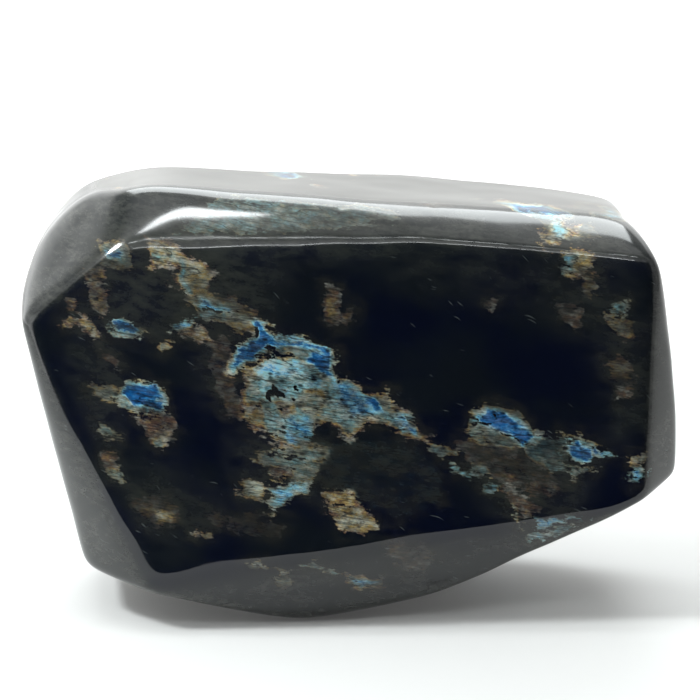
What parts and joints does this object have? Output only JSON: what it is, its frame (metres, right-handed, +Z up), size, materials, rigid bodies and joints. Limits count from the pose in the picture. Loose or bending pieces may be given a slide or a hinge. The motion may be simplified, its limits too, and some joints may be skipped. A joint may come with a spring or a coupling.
{
  "type": "labradorite freeform",
  "caption": "Polished labradorite freeform: a hand-ground stone with broad flat faces and soft edges that stands upright on a small sawn foot.",
  "frame": {"origin": "on the ground, under the middle of the stone's bounding box", "axes": "+X along the stone's length towards its right end as seen from the show face, +Y from the show face to the back, +Z up"},
  "size_m": [0.132, 0.0646, 0.0883],
  "materials": {
    "polished_labradorite": "high polish, near-black ground with blue, teal, gold and copper flash"
  },
  "bodies": {
    "root": {"stone": "polished_labradorite"}
  },
  "joints": []
}
